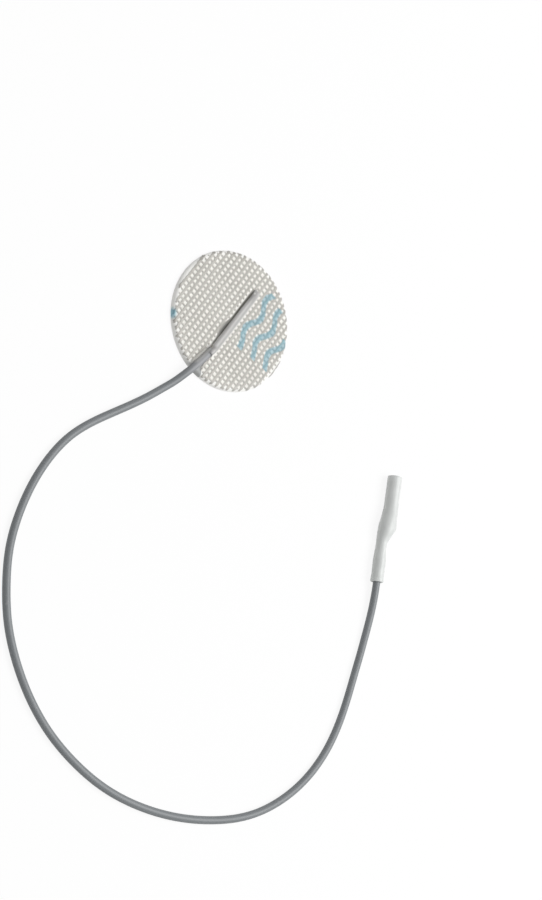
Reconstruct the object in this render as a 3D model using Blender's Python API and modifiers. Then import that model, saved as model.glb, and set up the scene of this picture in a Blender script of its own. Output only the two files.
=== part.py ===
"""Round adhesive electrode pad with its lead and pin socket.

A hydrogel disc carries a knitted conductive cloth. The bare end of the lead lies under a
raised flap of the cloth, and the insulated lead runs over the table to a sleeved socket.

Metres, +Z up. The origin is on the table under the middle of the pad. +X runs along the
slit in the cloth, away from the lead.
"""
import math

import bmesh
import bpy
import numpy as np
from mathutils import Matrix, Vector

MM = 0.001

# Clearances
SEAT_GAP = 0.3 * MM        # between pieces that rest on or touch each other
BORE_GAP = 0.25 * MM       # round what is held in a bore
CUT_OVERRUN = 0.6 * MM     # length of a cutter past the face it opens

# Hydrogel disc
GEL_RADIUS = 16.0 * MM
GEL_THICKNESS = 1.0 * MM
GEL_EDGE_ROUND = 0.25 * MM
DISC_SIDES = 120

# Knitted cloth
CLOTH_INSET = 0.5 * MM     # bare gel left round the cloth
CLOTH_THICKNESS = 0.35 * MM
RIB_PITCH = 1.34 * MM      # from one knitted row to the next
RIB_WIDTH = 0.8 * MM
RIB_HEIGHT = 0.15 * MM
RIB_SHOULDER = 0.2 * MM    # sloping part at each side of a rib
MESH_PITCH = 2.48 * MM     # from one gap to the next along a row
MESH_ROW_STEP = 2          # ribs from one row of gaps to the next
MESH_GAP_LENGTH = 0.62 * MM
MESH_GAP_MARGIN = 0.06 * MM    # from a gap to the ribs beside it
MESH_EDGE_MARGIN = 0.5 * MM    # from a gap to the rim or the notch

# Notch at the rim, where the lead lies on the gel
NOTCH_DEPTH = 5.6 * MM     # from the rim of the cloth to the mouth of the flap
NOTCH_STEP = 0.3 * MM      # from the mouth of the flap to the inner edge of the notch
NOTCH_MARGIN = 0.325 * MM  # from the lead to the notch's side at its inner end
NOTCH_FLARE = 1.1 * MM     # widening of the notch out to the rim

# Slit and the flap beside it, raised over the bare wire
SLIT_WIDTH = 0.3 * MM
FLAP_FOOT_Y = -1.7 * MM
FLAP_EDGE_Y = 0.45 * MM
FLAP_END_INSET = 5.2 * MM  # from the inner end of the flap to the rim of the cloth
FLAP_TAPER = 3.8 * MM      # length over which the flap comes down at its inner end
FLAP_MOUTH_LENGTH = 4.0 * MM
FLAP_OVER_WIRE = 0.35 * MM
FLAP_OVER_LEAD = 0.175 * MM    # from the top of the lead to the top of the flap's mouth
FLAP_CREST_SHARE = 0.7     # place of the crest between the foot and the free edge
FLAP_EDGE_DROP = 0.25      # share of the lift that the free edge falls from the crest

# Lead
CORD_DIAMETER = 1.75 * MM
CORD_LIFT = 0.015 * MM     # keeps the facets of the tube off the table
CORD_STEP = 2.5            # diameters between two points of the tube
CORD_ROUND_STEPS = 2
WIRE_DIAMETER = 0.8 * MM
PAD_WIRE_Y = -0.15 * MM
PAD_WIRE_END_GAP = 0.1 * MM    # from the wire's end to where the flap starts to come down

# Sleeved socket at the far end of the lead, placed from the rim of the gel
CONNECTOR_FROM_RIM_X = -0.5 * MM
CONNECTOR_Y = -68.7 * MM
CONNECTOR_TURN = math.radians(30.0)
SLEEVE_WALL = 0.3 * MM
SLEEVE_LIP_FLARE = 0.1 * MM
SLEEVE_LIP_LENGTH = 0.9 * MM
NECK_LENGTH = 4.0 * MM
BARREL_LENGTH = 12.6 * MM
TAIL_SIDE_SHIFT = 0.45 * MM    # from the middle of the barrel to the middle of the tail
CORD_DEPTH = 5.3 * MM      # lead inside the sleeve
WIRE_SHOWING = 0.6 * MM    # bare wire between the lead's jacket and the crimp
CRIMP_WALL = 0.25 * MM
CRIMP_BORE_DEPTH = 2.4 * MM
CRIMP_FLOOR = 0.4 * MM     # metal between the crimp's bore and the neck
PIN_BORE_RADIUS = 1.0 * MM
SOCKET_WALL = 0.35 * MM
SOCKET_FLOOR = 0.9 * MM    # metal between the neck and the pin's bore
SOCKET_RECESS = 1.2 * MM   # metal set back from the sleeve's mouth
SPLIT_WIDTH = 0.3 * MM
SPLIT_LENGTH = 6.0 * MM
NECK_STEPS = 8
BARREL_ROUND_STEPS = 8
BORE_SIDES = 24

# Heights and radii that follow
GEL_TOP = GEL_THICKNESS
CLOTH_BOTTOM = GEL_TOP + SEAT_GAP
CLOTH_TOP = CLOTH_BOTTOM + CLOTH_THICKNESS
CLOTH_RADIUS = GEL_RADIUS - CLOTH_INSET
CORD_RADIUS = CORD_DIAMETER / 2
WIRE_RADIUS = WIRE_DIAMETER / 2
CORD_ON_GEL_Z = GEL_TOP + SEAT_GAP + CORD_RADIUS
CORD_ON_TABLE_Z = CORD_RADIUS + CORD_LIFT
WIRE_ON_GEL_Z = GEL_TOP + SEAT_GAP + WIRE_RADIUS
CRIMP_RADIUS = WIRE_RADIUS + BORE_GAP + CRIMP_WALL
SOCKET_RADIUS = PIN_BORE_RADIUS + SOCKET_WALL
SLEEVE_TAIL_RADIUS = max(CORD_RADIUS, CRIMP_RADIUS) + BORE_GAP + SLEEVE_WALL
SLEEVE_BARREL_RADIUS = SOCKET_RADIUS + SEAT_GAP + SLEEVE_WALL
SLEEVE_TAIL_Z = SLEEVE_TAIL_RADIUS + SLEEVE_LIP_FLARE
SLEEVE_BARREL_Z = SLEEVE_BARREL_RADIUS

# Places along the slit that follow
FLAP_MOUTH_X = NOTCH_DEPTH - CLOTH_RADIUS
FLAP_END_X = CLOTH_RADIUS - FLAP_END_INSET
FLAP_TAPER_X = FLAP_END_X - FLAP_TAPER
NOTCH_INNER_X = FLAP_MOUTH_X - NOTCH_STEP
NOTCH_SIDE_Y = CORD_RADIUS + NOTCH_MARGIN
SLIT_EDGE_Y = FLAP_EDGE_Y + SLIT_WIDTH
CORD_START_X = FLAP_MOUTH_X - SEAT_GAP
FLAP_LIFT = WIRE_DIAMETER + FLAP_OVER_WIRE
FLAP_MOUTH_LIFT = CORD_ON_GEL_Z + CORD_RADIUS + FLAP_OVER_LEAD - CLOTH_TOP

# Places along the sleeve that follow, from the end where the lead goes in
SOCKET_START = CORD_DEPTH + SEAT_GAP + WIRE_SHOWING
NECK_START = SOCKET_START + CRIMP_BORE_DEPTH + CRIMP_FLOOR
NECK_END = NECK_START + NECK_LENGTH
SLEEVE_LENGTH = NECK_END + BARREL_LENGTH
SOCKET_END = SLEEVE_LENGTH - SOCKET_RECESS

# The lead's way down from the pad, chosen by hand: x from the rim of the gel and y in
# millimetres, and the share of the height that the lead has on the gel
DOWN_ROUTE = (
    (3.5, 0.35, 1.0), (1.5, 0.7, 1.0), (-0.3, 1.0, 0.96), (-2.7, 1.45, 0.62),
    (-5.1, 1.95, 0.25), (-8.6, 3.1, 0.04),
)

# Its way over the table, in millimetres from the rim of the gel
TABLE_ROUTE = (
    (-12.4, 4.5), (-22.0, 8.8), (-27.8, 11.4), (-33.5, 13.2), (-40.4, 13.85), (-46.9, 13.3),
    (-54.2, 11.5), (-61.1, 8.5), (-67.4, 4.0), (-72.9, -1.3), (-77.4, -7.7), (-81.2, -15.7),
    (-83.4, -23.8), (-84.1, -32.2), (-83.4, -41.2), (-80.9, -50.3), (-76.7, -59.3),
    (-70.7, -68.0), (-63.9, -74.8), (-56.3, -79.3), (-46.5, -82.1), (-37.6, -82.2),
    (-29.4, -80.5), (-21.6, -77.9), (-12.9, -74.8),
)
SLEEVE_APPROACH = 4.3 * MM     # last point of the route before the sleeve
SLEEVE_APPROACH_DROP = 0.2 * MM


def clear_scene():
    for item in list(bpy.data.objects):
        bpy.data.objects.remove(item, do_unlink=True)


def collection(name):
    found = bpy.data.collections.new(name)
    bpy.context.scene.collection.children.link(found)
    return found


def material(name, colour, roughness, metallic=0.0):
    made = bpy.data.materials.new(name)
    made.use_nodes = True
    shader = made.node_tree.nodes["Principled BSDF"]
    shader.inputs["Base Color"].default_value = (*colour, 1.0)
    shader.inputs["Roughness"].default_value = roughness
    shader.inputs["Metallic"].default_value = metallic
    return made


def link(name, data, home, finish=None):
    made = bpy.data.objects.new(name, data)
    home.objects.link(made)
    if finish is not None:
        data.materials.append(finish)
    return made


def mesh_object(name, shape, home, finish=None):
    """Turns a bmesh into an object and frees it."""
    data = bpy.data.meshes.new(name)
    shape.to_mesh(data)
    shape.free()
    return link(name, data, home, finish)


def cutter(made):
    made.hide_render = True
    made.display_type = "WIRE"
    return made


def boolean(target, tool, operation):
    step = target.modifiers.new(tool.name, "BOOLEAN")
    step.object = tool
    step.operation = operation
    step.solver = "EXACT"


def smooth(made, angle=40.0):
    made.data.shade_smooth()
    made.data.set_sharp_from_angle(angle=math.radians(angle))


def smooth_route(points, step):
    """Points a step apart on the natural cubic spline through the given ones."""
    knots = np.array(points, dtype=float)
    count = len(knots)
    at = np.concatenate(([0.0], np.cumsum(np.linalg.norm(np.diff(knots, axis=0), axis=1))))
    span = np.diff(at)
    system = np.eye(count)
    right = np.zeros_like(knots)
    for i in range(1, count - 1):
        system[i, i - 1] = span[i - 1]
        system[i, i] = 2 * (span[i - 1] + span[i])
        system[i, i + 1] = span[i]
        change = (knots[i + 1] - knots[i]) / span[i] - (knots[i] - knots[i - 1]) / span[i - 1]
        right[i] = 6 * change
    bend = np.linalg.solve(system, right)
    samples = np.linspace(0.0, at[-1], int(round(at[-1] / step)) + 1)
    route = []
    for s in samples:
        i = min(int(np.searchsorted(at, s, side="right")) - 1, count - 2)
        a = (at[i + 1] - s) / span[i]
        b = (s - at[i]) / span[i]
        pull = ((a ** 3 - a) * bend[i] + (b ** 3 - b) * bend[i + 1]) * span[i] ** 2 / 6
        route.append(a * knots[i] + b * knots[i + 1] + pull)
    return route


def tube(name, points, radii, home, finish=None, round_steps=CORD_ROUND_STEPS, caps=True):
    """A tube through points, with one radius or a radius for each of them."""
    data = bpy.data.curves.new(name, "CURVE")
    data.dimensions = "3D"
    data.twist_mode = "MINIMUM"
    data.bevel_resolution = round_steps
    data.use_fill_caps = caps
    spline = data.splines.new("POLY")
    spline.points.add(len(points) - 1)
    radii = [radii] * len(points) if isinstance(radii, float) else radii
    data.bevel_depth = max(radii)
    for place, point, radius in zip(spline.points, points, radii):
        place.co = (*point, 1.0)
        place.radius = radius / data.bevel_depth
    return link(name, data, home, finish)


def meshed(made, home, finish=None):
    """Replaces a curve object by the mesh it makes, with its caps welded on."""
    name = made.name
    bpy.context.view_layer.update()
    view = made.evaluated_get(bpy.context.evaluated_depsgraph_get())
    data = bpy.data.meshes.new_from_object(view)
    shape = bmesh.new()
    shape.from_mesh(data)
    bmesh.ops.remove_doubles(shape, verts=shape.verts, dist=0.00001)
    bmesh.ops.recalc_face_normals(shape, faces=shape.faces)
    shape.to_mesh(data)
    shape.free()
    place = made.matrix_world.copy()
    old = made.data
    bpy.data.objects.remove(made, do_unlink=True)
    bpy.data.curves.remove(old)
    made = link(name, data, home)
    made.matrix_world = place
    if finish is not None:
        data.materials.clear()
        data.materials.append(finish)
    return made


def ease(share):
    """Smooth step from 0 to 1."""
    share = min(max(share, 0.0), 1.0)
    return share * share * (3.0 - 2.0 * share)


def make_gel(home, finish):
    shape = bmesh.new()
    bmesh.ops.create_cone(shape, cap_ends=True, segments=DISC_SIDES, radius1=GEL_RADIUS,
                          radius2=GEL_RADIUS, depth=GEL_THICKNESS,
                          matrix=Matrix.Translation((0, 0, GEL_THICKNESS / 2)))
    rim = [e for e in shape.edges if all(v.co.z > GEL_THICKNESS / 2 for v in e.verts)]
    bmesh.ops.bevel(shape, geom=rim, offset=GEL_EDGE_ROUND, segments=2, affect="EDGES",
                    profile=0.5)
    gel = mesh_object("gel_pad", shape, home, finish)
    smooth(gel)
    return gel


def flap_lift(x, across):
    """Rise of the flap over its flat lie, with across from 0 at the foot to 1 at the free edge."""
    if x < FLAP_MOUTH_X:
        return 0.0
    mouth = ease((FLAP_MOUTH_X + FLAP_MOUTH_LENGTH - x) / FLAP_MOUTH_LENGTH)
    along = FLAP_LIFT + (FLAP_MOUTH_LIFT - FLAP_LIFT) * mouth
    along *= ease((FLAP_END_X - x) / FLAP_TAPER)
    if across < FLAP_CREST_SHARE:
        return along * ease(across / FLAP_CREST_SHARE)
    past = (across - FLAP_CREST_SHARE) / (1.0 - FLAP_CREST_SHARE)
    return along * (1.0 - FLAP_EDGE_DROP * past * past)


def rib_rows(start, way):
    """Rows across the ribs, from one edge of the slit out past the rim: y, rise and flap share."""
    rows = []
    offset = 0.0
    while offset < GEL_RADIUS + RIB_PITCH:
        rows.append((start + way * offset, 0.0, 0.0))
        rows.append((start + way * (offset + RIB_SHOULDER), RIB_HEIGHT, 0.0))
        rows.append((start + way * (offset + RIB_WIDTH - RIB_SHOULDER), RIB_HEIGHT, 0.0))
        rows.append((start + way * (offset + RIB_WIDTH), 0.0, 0.0))
        offset += RIB_PITCH
    return rows


def cloth_columns():
    """Places along the slit where the cloth's height changes, from rim to rim."""
    mouth_steps = 4
    taper_steps = 7
    reach = GEL_RADIUS + RIB_PITCH
    mouth = [FLAP_MOUTH_X + FLAP_MOUTH_LENGTH * k / mouth_steps for k in range(mouth_steps + 1)]
    taper = [FLAP_TAPER_X + FLAP_TAPER * k / taper_steps for k in range(taper_steps + 1)]
    return [-reach] + mouth + taper + [reach]


def cloth_sheet(home, finish):
    """The cloth's upper face as an open grid, with the flap raised and the slit left open."""
    flap_rows = 10
    rows = rib_rows(FLAP_FOOT_Y, -1)[::-1]
    foot_row = len(rows) - 1
    for k in range(1, flap_rows + 1):
        across = k / flap_rows
        rows.append((FLAP_FOOT_Y + (FLAP_EDGE_Y - FLAP_FOOT_Y) * across, 0.0, across))
    edge_row = len(rows) - 1
    rows += rib_rows(SLIT_EDGE_Y, 1)
    columns = cloth_columns()
    mouth_column = 1
    end_column = len(columns) - 2

    shape = bmesh.new()
    grid = [[shape.verts.new((x, y, CLOTH_TOP + rise + flap_lift(x, across))) for x in columns]
            for y, rise, across in rows]
    for j in range(len(rows) - 1):
        for i in range(len(columns) - 1):
            in_notch = i < mouth_column and foot_row <= j <= edge_row
            in_slit = j == edge_row and mouth_column <= i < end_column
            if in_notch or in_slit:
                continue
            shape.faces.new((grid[j][i], grid[j][i + 1], grid[j + 1][i + 1], grid[j + 1][i]))
    loose = [v for v in shape.verts if not v.link_faces]
    bmesh.ops.delete(shape, geom=loose, context="VERTS")
    return mesh_object("mesh_cover", shape, home, finish)


def cloth_outline(home):
    """Round outline with the notch that the lead lies in."""
    near_side = FLAP_FOOT_Y / 2    # in the part of the notch that the sheet leaves open
    first = math.pi - math.asin((NOTCH_SIDE_Y + NOTCH_FLARE) / CLOTH_RADIUS)
    last = -math.pi - math.asin(near_side / CLOTH_RADIUS)
    outline = [(CLOTH_RADIUS * math.cos(a), CLOTH_RADIUS * math.sin(a))
               for a in np.linspace(first, last, DISC_SIDES)]
    outline += [(NOTCH_INNER_X, near_side), (NOTCH_INNER_X, NOTCH_SIDE_Y)]
    data = bpy.data.curves.new("cloth_outline", "CURVE")
    data.dimensions = "2D"
    data.fill_mode = "BOTH"
    data.extrude = CLOTH_TOP + FLAP_LIFT + FLAP_MOUTH_LIFT
    spline = data.splines.new("POLY")
    spline.points.add(len(outline) - 1)
    for place, (x, y) in zip(spline.points, outline):
        place.co = (x, y, 0.0, 1.0)
    spline.use_cyclic_u = True
    return cutter(meshed(link("cloth_outline", data, home), home))


def near_notch(x, y):
    """True where a gap of the mesh would come too close to the side of the notch."""
    opening = MESH_EDGE_MARGIN + MESH_GAP_LENGTH / 2
    if y < 0.0 or x > NOTCH_INNER_X + opening:
        return False
    slope = NOTCH_FLARE / (NOTCH_INNER_X + CLOTH_RADIUS)
    side = NOTCH_SIDE_Y + max(0.0, NOTCH_INNER_X - x) * slope
    return y < side + opening


def mesh_gaps(home):
    """Boxes that open the gaps in every second valley between the ribs."""
    valley = RIB_PITCH - RIB_WIDTH
    width = valley - 2 * MESH_GAP_MARGIN
    count = int(CLOTH_RADIUS / MESH_PITCH) + 1
    rows = []
    for k in range(0, int(CLOTH_RADIUS / RIB_PITCH) + 1, MESH_ROW_STEP):
        offset = RIB_WIDTH + valley / 2 + k * RIB_PITCH
        rows += [SLIT_EDGE_Y + offset, FLAP_FOOT_Y - offset]
    size = Matrix.Diagonal((MESH_GAP_LENGTH, width, CLOTH_THICKNESS + 2 * CUT_OVERRUN, 1.0))
    shape = bmesh.new()
    for y in rows:
        for i in range(-count, count + 1):
            x = i * MESH_PITCH
            corner = math.hypot(abs(x) + MESH_GAP_LENGTH / 2, abs(y) + width / 2)
            if corner > CLOTH_RADIUS - MESH_EDGE_MARGIN or near_notch(x, y):
                continue
            place = Matrix.Translation((x, y, CLOTH_BOTTOM + CLOTH_THICKNESS / 2))
            bmesh.ops.create_cube(shape, size=1.0, matrix=place @ size)
    return cutter(mesh_object("mesh_gaps", shape, home))


def make_cloth(home, cutters, finish):
    cloth = cloth_sheet(home, finish)
    wall = cloth.modifiers.new("thickness", "SOLIDIFY")
    wall.thickness = CLOTH_THICKNESS
    wall.offset = -1.0
    boolean(cloth, cloth_outline(cutters), "INTERSECT")
    boolean(cloth, mesh_gaps(cutters), "DIFFERENCE")
    return cloth


def make_pad_wire(home, finish):
    """Bare end of the lead, from the middle of the jacket down on to the gel."""
    bend_steps = 6
    points = []
    for k in range(bend_steps + 1):
        share = k / bend_steps
        drop = ease(share) * (CORD_ON_GEL_Z - WIRE_ON_GEL_Z)
        points.append((FLAP_MOUTH_X + FLAP_MOUTH_LENGTH * share, PAD_WIRE_Y * ease(share),
                       CORD_ON_GEL_Z - drop))
    points.append((FLAP_TAPER_X - PAD_WIRE_END_GAP, PAD_WIRE_Y, WIRE_ON_GEL_Z))
    return tube("pad_wire", points, WIRE_RADIUS, home, finish)


def neck_share(s):
    """How far the sleeve has widened from its tail to its barrel, s along it."""
    return ease((s - NECK_START) / NECK_LENGTH)


def neck_stations():
    return [NECK_START + NECK_LENGTH * k / NECK_STEPS for k in range(NECK_STEPS + 1)]


def connector_point(s):
    """Middle of the socket and sleeve, s along them from the end where the lead goes in."""
    along = Vector((math.cos(CONNECTOR_TURN), math.sin(CONNECTOR_TURN), 0.0))
    side = Vector((-along.y, along.x, 0.0))
    start = Vector((CONNECTOR_FROM_RIM_X - GEL_RADIUS, CONNECTOR_Y, SLEEVE_TAIL_Z))
    shift = Vector((0.0, 0.0, SLEEVE_BARREL_Z - SLEEVE_TAIL_Z)) - side * TAIL_SIDE_SHIFT
    return start + along * s + shift * neck_share(s)


def lead_route():
    """The lead's own points, from the flap's mouth to its end in the sleeve."""
    drop = CORD_ON_GEL_Z - CORD_ON_TABLE_Z
    route = [(CORD_START_X, 0.0, CORD_ON_GEL_Z)]
    for x, y, share in DOWN_ROUTE:
        route.append((x * MM - GEL_RADIUS, y * MM, CORD_ON_TABLE_Z + drop * share))
    for x, y in TABLE_ROUTE:
        route.append((x * MM - GEL_RADIUS, y * MM, CORD_ON_TABLE_Z))
    approach = connector_point(-SLEEVE_APPROACH) - Vector((0.0, 0.0, SLEEVE_APPROACH_DROP))
    route += [tuple(approach), tuple(connector_point(0.0)), tuple(connector_point(CORD_DEPTH))]
    return route


def make_lead(home, finish):
    """The insulated lead, which dips no lower than the table."""
    points = smooth_route(lead_route(), CORD_STEP * CORD_DIAMETER)
    points = [(x, y, max(z, CORD_ON_TABLE_Z)) for x, y, z in points]
    return tube("lead_cord", points, CORD_RADIUS, home, finish)


def sleeve_radius(s):
    widening = (SLEEVE_BARREL_RADIUS - SLEEVE_TAIL_RADIUS) * neck_share(s)
    lip = ease((2 * SLEEVE_LIP_LENGTH - s) / SLEEVE_LIP_LENGTH)
    return SLEEVE_TAIL_RADIUS + widening + SLEEVE_LIP_FLARE * lip


def make_sleeve(home, finish):
    lip = [SLEEVE_LIP_LENGTH * share for share in (0.0, 1.0, 1.5, 2.0)]
    stations = lip + neck_stations() + [SLEEVE_LENGTH]
    points = [connector_point(s) for s in stations]
    radii = [sleeve_radius(s) for s in stations]
    skin = tube("connector_sleeve", points, radii, home, round_steps=BARREL_ROUND_STEPS, caps=False)
    sleeve = meshed(skin, home, finish)
    wall = sleeve.modifiers.new("wall", "SOLIDIFY")
    wall.thickness = SLEEVE_WALL
    wall.offset = -1.0
    smooth(sleeve)
    return sleeve


def bore(name, start, end, radius, home):
    """A straight round cutter between two places along the connector."""
    start = connector_point(start)
    end = connector_point(end)
    turn = (end - start).to_track_quat("Z", "Y").to_matrix().to_4x4()
    shape = bmesh.new()
    bmesh.ops.create_cone(shape, cap_ends=True, segments=BORE_SIDES, radius1=radius,
                          radius2=radius, depth=(end - start).length,
                          matrix=Matrix.Translation((start + end) / 2) @ turn)
    return cutter(mesh_object(name, shape, home))


def barrel_split(home):
    """Box that opens the slot along the top of the barrel, out through its mouth."""
    middle = connector_point(SOCKET_END + (CUT_OVERRUN - SPLIT_LENGTH) / 2)
    place = Matrix.Translation(middle + Vector((0.0, 0.0, SOCKET_RADIUS)))
    turn = Matrix.Rotation(CONNECTOR_TURN, 4, "Z")
    size = Matrix.Diagonal((SPLIT_LENGTH + CUT_OVERRUN, SPLIT_WIDTH, SOCKET_RADIUS, 1.0))
    shape = bmesh.new()
    bmesh.ops.create_cube(shape, size=1.0, matrix=place @ turn @ size)
    return cutter(mesh_object("barrel_split", shape, home))


def make_socket(home, cutters, finish):
    """Barrel for the pin and a thinner crimp tail, on the sleeve's own middle line."""
    stations = [SOCKET_START] + neck_stations() + [SOCKET_END]
    points = [connector_point(s) for s in stations]
    radii = [CRIMP_RADIUS + (SOCKET_RADIUS - CRIMP_RADIUS) * neck_share(s) for s in stations]
    body = tube("pin_socket", points, radii, home, round_steps=BARREL_ROUND_STEPS)
    socket = meshed(body, home, finish)
    cuts = [
        bore("pin_bore", NECK_END + SOCKET_FLOOR, SOCKET_END + CUT_OVERRUN, PIN_BORE_RADIUS,
             cutters),
        bore("crimp_bore", SOCKET_START - CUT_OVERRUN, SOCKET_START + CRIMP_BORE_DEPTH,
             WIRE_RADIUS + BORE_GAP, cutters),
        barrel_split(cutters),
    ]
    for cut in cuts:
        boolean(socket, cut, "DIFFERENCE")
    smooth(socket)
    return socket


def make_plug_wire(home, finish):
    start = connector_point(CORD_DEPTH + SEAT_GAP)
    end = connector_point(SOCKET_START + CRIMP_BORE_DEPTH - SEAT_GAP)
    return tube("plug_wire", [start, end], WIRE_RADIUS, home, finish)


def main():
    clear_scene()
    home = collection("adhesive_electrode_pad")
    cutters = collection("cutters")
    gel = material("gel", (0.82, 0.80, 0.74), 0.25)
    cloth = material("cloth", (0.42, 0.40, 0.37), 0.55, 0.3)
    jacket = material("jacket", (0.19, 0.20, 0.21), 0.45)
    strand = material("strand", (0.72, 0.71, 0.69), 0.3, 1.0)
    white = material("sleeve", (0.80, 0.82, 0.80), 0.4)
    metal = material("socket", (0.75, 0.73, 0.68), 0.25, 1.0)
    make_gel(home, gel)
    make_cloth(home, cutters, cloth)
    make_pad_wire(home, strand)
    make_lead(home, jacket)
    make_sleeve(home, white)
    make_socket(home, cutters, metal)
    make_plug_wire(home, strand)


main()
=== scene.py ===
"""Looks of the round adhesive electrode pad, its lead and its sleeved pin socket."""
import math

import bmesh
import bpy
import numpy as np
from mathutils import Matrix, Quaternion, Vector


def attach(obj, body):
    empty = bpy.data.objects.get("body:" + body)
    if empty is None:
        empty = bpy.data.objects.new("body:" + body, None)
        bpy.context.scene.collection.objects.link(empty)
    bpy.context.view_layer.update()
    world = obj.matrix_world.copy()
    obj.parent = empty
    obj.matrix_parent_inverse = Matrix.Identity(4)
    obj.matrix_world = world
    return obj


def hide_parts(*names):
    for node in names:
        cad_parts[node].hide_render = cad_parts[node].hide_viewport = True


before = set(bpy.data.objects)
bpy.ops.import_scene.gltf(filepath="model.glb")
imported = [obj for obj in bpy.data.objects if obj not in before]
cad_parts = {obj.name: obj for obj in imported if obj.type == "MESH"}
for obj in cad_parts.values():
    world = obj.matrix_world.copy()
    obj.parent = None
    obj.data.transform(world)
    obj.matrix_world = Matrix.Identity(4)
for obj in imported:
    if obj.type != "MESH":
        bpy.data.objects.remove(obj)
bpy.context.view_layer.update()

MM = 0.001
BODY = "root"
FULL_TURN = 2 * math.pi
UP = Vector((0.0, 0.0, 1.0))

# Sizes that the looks share with the solids
GEL_RADIUS = 16.0 * MM
CORD_DIAMETER = 1.75 * MM
CORD_ON_GEL_Z = 2.175 * MM
CORD_ON_TABLE_Z = 0.89 * MM
CORD_START_X = -9.75 * MM
TABLE_GAP = 0.005 * MM

# The connector: its start from the rim, its turn, and places along it from the cord's end
CONNECTOR_FROM_RIM_X = -0.5 * MM
CONNECTOR_Y = -68.7 * MM
CONNECTOR_TURN = math.radians(30.0)
TAIL_RADIUS = 1.45 * MM
BARREL_RADIUS = 1.95 * MM
TAIL_Z = 1.55 * MM
BARREL_Z = 1.95 * MM
BARREL_SLIM = 0.23 * MM
BARREL_LEAN = 0.8 * MM
SLIM_START = 14.0 * MM
SLIM_LENGTH = 5.0 * MM
LEAN_START = 11.0 * MM
LEAN_LENGTH = 8.0 * MM
TAIL_SIDE_SHIFT = 0.45 * MM
NECK_START = 9.0 * MM
NECK_LENGTH = 4.0 * MM
SLEEVE_LENGTH = 25.6 * MM
CORD_DEPTH = 5.3 * MM
SOCKET_START = 6.2 * MM
SOCKET_END = 24.4 * MM
CRIMP_RADIUS = 0.9 * MM
SOCKET_RADIUS = 1.28 * MM
SLEEVE_APPROACH = 4.3 * MM
SLEEVE_APPROACH_DROP = 0.2 * MM

# How the sleeve gave way over the socket, in millimetres: how far out, where, how far each way
SWELL = (0.10, 4.5, 3.4)
WAIST = (-0.10, 9.4, 2.6)
RIGHT_WAIST = (-0.22, 7.8, 3.0)
LEFT_SHOULDER = (0.14, 13.2, 2.0)
RIGHT_SHOULDER = (0.34, 13.2, 2.0)
FOLDS = (0.035, 11.2, 3.0)

# The lead's way down from the gel: x from the rim, y, both in millimetres, and the share of
# the height that it has on the gel
DOWN_ROUTE = (
    (3.5, 0.35, 1.0), (1.5, 0.7, 1.0), (-0.3, 1.0, 0.96), (-2.7, 1.45, 0.62),
    (-5.1, 1.95, 0.25), (-8.6, 3.1, 0.04),
)

# Its way over the table, in millimetres from the rim of the gel
TABLE_ROUTE = (
    (-12.4, 4.5), (-22.0, 8.8), (-27.8, 11.4), (-33.5, 13.2), (-40.4, 13.85), (-46.9, 13.3),
    (-54.2, 11.5), (-61.1, 8.5), (-67.4, 4.0), (-72.9, -1.3), (-77.4, -7.7), (-81.2, -15.7),
    (-83.4, -23.8), (-84.1, -32.2), (-83.4, -41.2), (-80.9, -50.3), (-76.7, -59.3),
    (-70.7, -68.0), (-63.9, -74.8), (-56.3, -79.3), (-46.5, -82.1), (-37.6, -82.2),
    (-29.4, -80.5), (-21.6, -77.9), (-12.9, -74.8),
)

# The knit: rows run along the slit, with chains and the lines of holes between them
KNIT_RADIUS = 16.0 * MM
ROW_PITCH = 1.328 * MM
ROW_ALTERNATE = 0.055 * MM
ROW_FIRST_Y = 1.53 * MM
ROWS_EACH_WAY = 14
STITCH = 1.24 * MM
HOLE_START_X = 1.29 * MM
HOLE_SKEW = -0.095 * MM
HOLE_ALTERNATE = -0.41 * MM
KNIT_Z = 1.34 * MM
KNIT_FLOOR = 1.33 * MM

# Where it is cut: the strip's straight edge, and a corner square to a way out from the middle
STRIP_EDGE_Y = 15.25 * MM
CORNER_CUT = 15.45 * MM
CORNER_WAY_X = -0.43
CORNER_WAY_Y = 0.9

# The flap over the wire. A pair holds its value along the wire and the one at its mouth.
FLAP_START_X = -11.1 * MM
FLAP_END_X = 10.35 * MM
FLAP_FOOT_Y = (-1.52 * MM, -0.93 * MM)
FLAP_EDGE_Y = (0.2 * MM, 0.5 * MM)
FLAP_LIFT = (0.72 * MM, 2.0 * MM)
FLAP_CREST = (0.66, 0.60)
FLAP_EDGE_DROP = (0.42, 0.14)
FLAP_ARCH_POWER = (1.3, 0.5)
FLAP_MOUTH_LENGTH = 3.1 * MM
FLAP_RISE_LENGTH = 1.6 * MM
FLAP_TAPER = 2.4 * MM
FLAP_SINK = 0.03 * MM
FLAP_THICKNESS = 0.26 * MM
FLAP_THINNING = 0.7
FLAP_FOOT_LAP = 0.2 * MM
FLAP_END_LAP = 0.3 * MM

# The slit beside it, which stands open about its middle, and the painted shade under both
SLIT_EDGE_Y = 0.66 * MM
SLIT_BULGE = 0.36 * MM
SLIT_BULGE_X = -2.9 * MM
SLIT_BULGE_FLAT = 0.4 * MM
SLIT_BULGE_REACH = 3.6 * MM
SLIT_SHADE_START_X = -9.1 * MM

# The notch that the lead lies in
NOTCH_END_X = -10.1 * MM
NOTCH_NEAR_Y = -0.85 * MM
NOTCH_NEAR_FLARE_START = 4.2 * MM
NOTCH_NEAR_FLARE = 0.65
NOTCH_FAR_Y = 0.8 * MM
NOTCH_FAR_FLARE = 0.18


def ease(share):
    """Smooth step from 0 to 1."""
    share = min(max(share, 0.0), 1.0)
    return share * share * (3.0 - 2.0 * share)


def hump(value, middle, reach):
    """A smooth bump of height 1 round a middle, nought past its reach."""
    return ease(1.0 - abs(value - middle) / reach)


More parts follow.
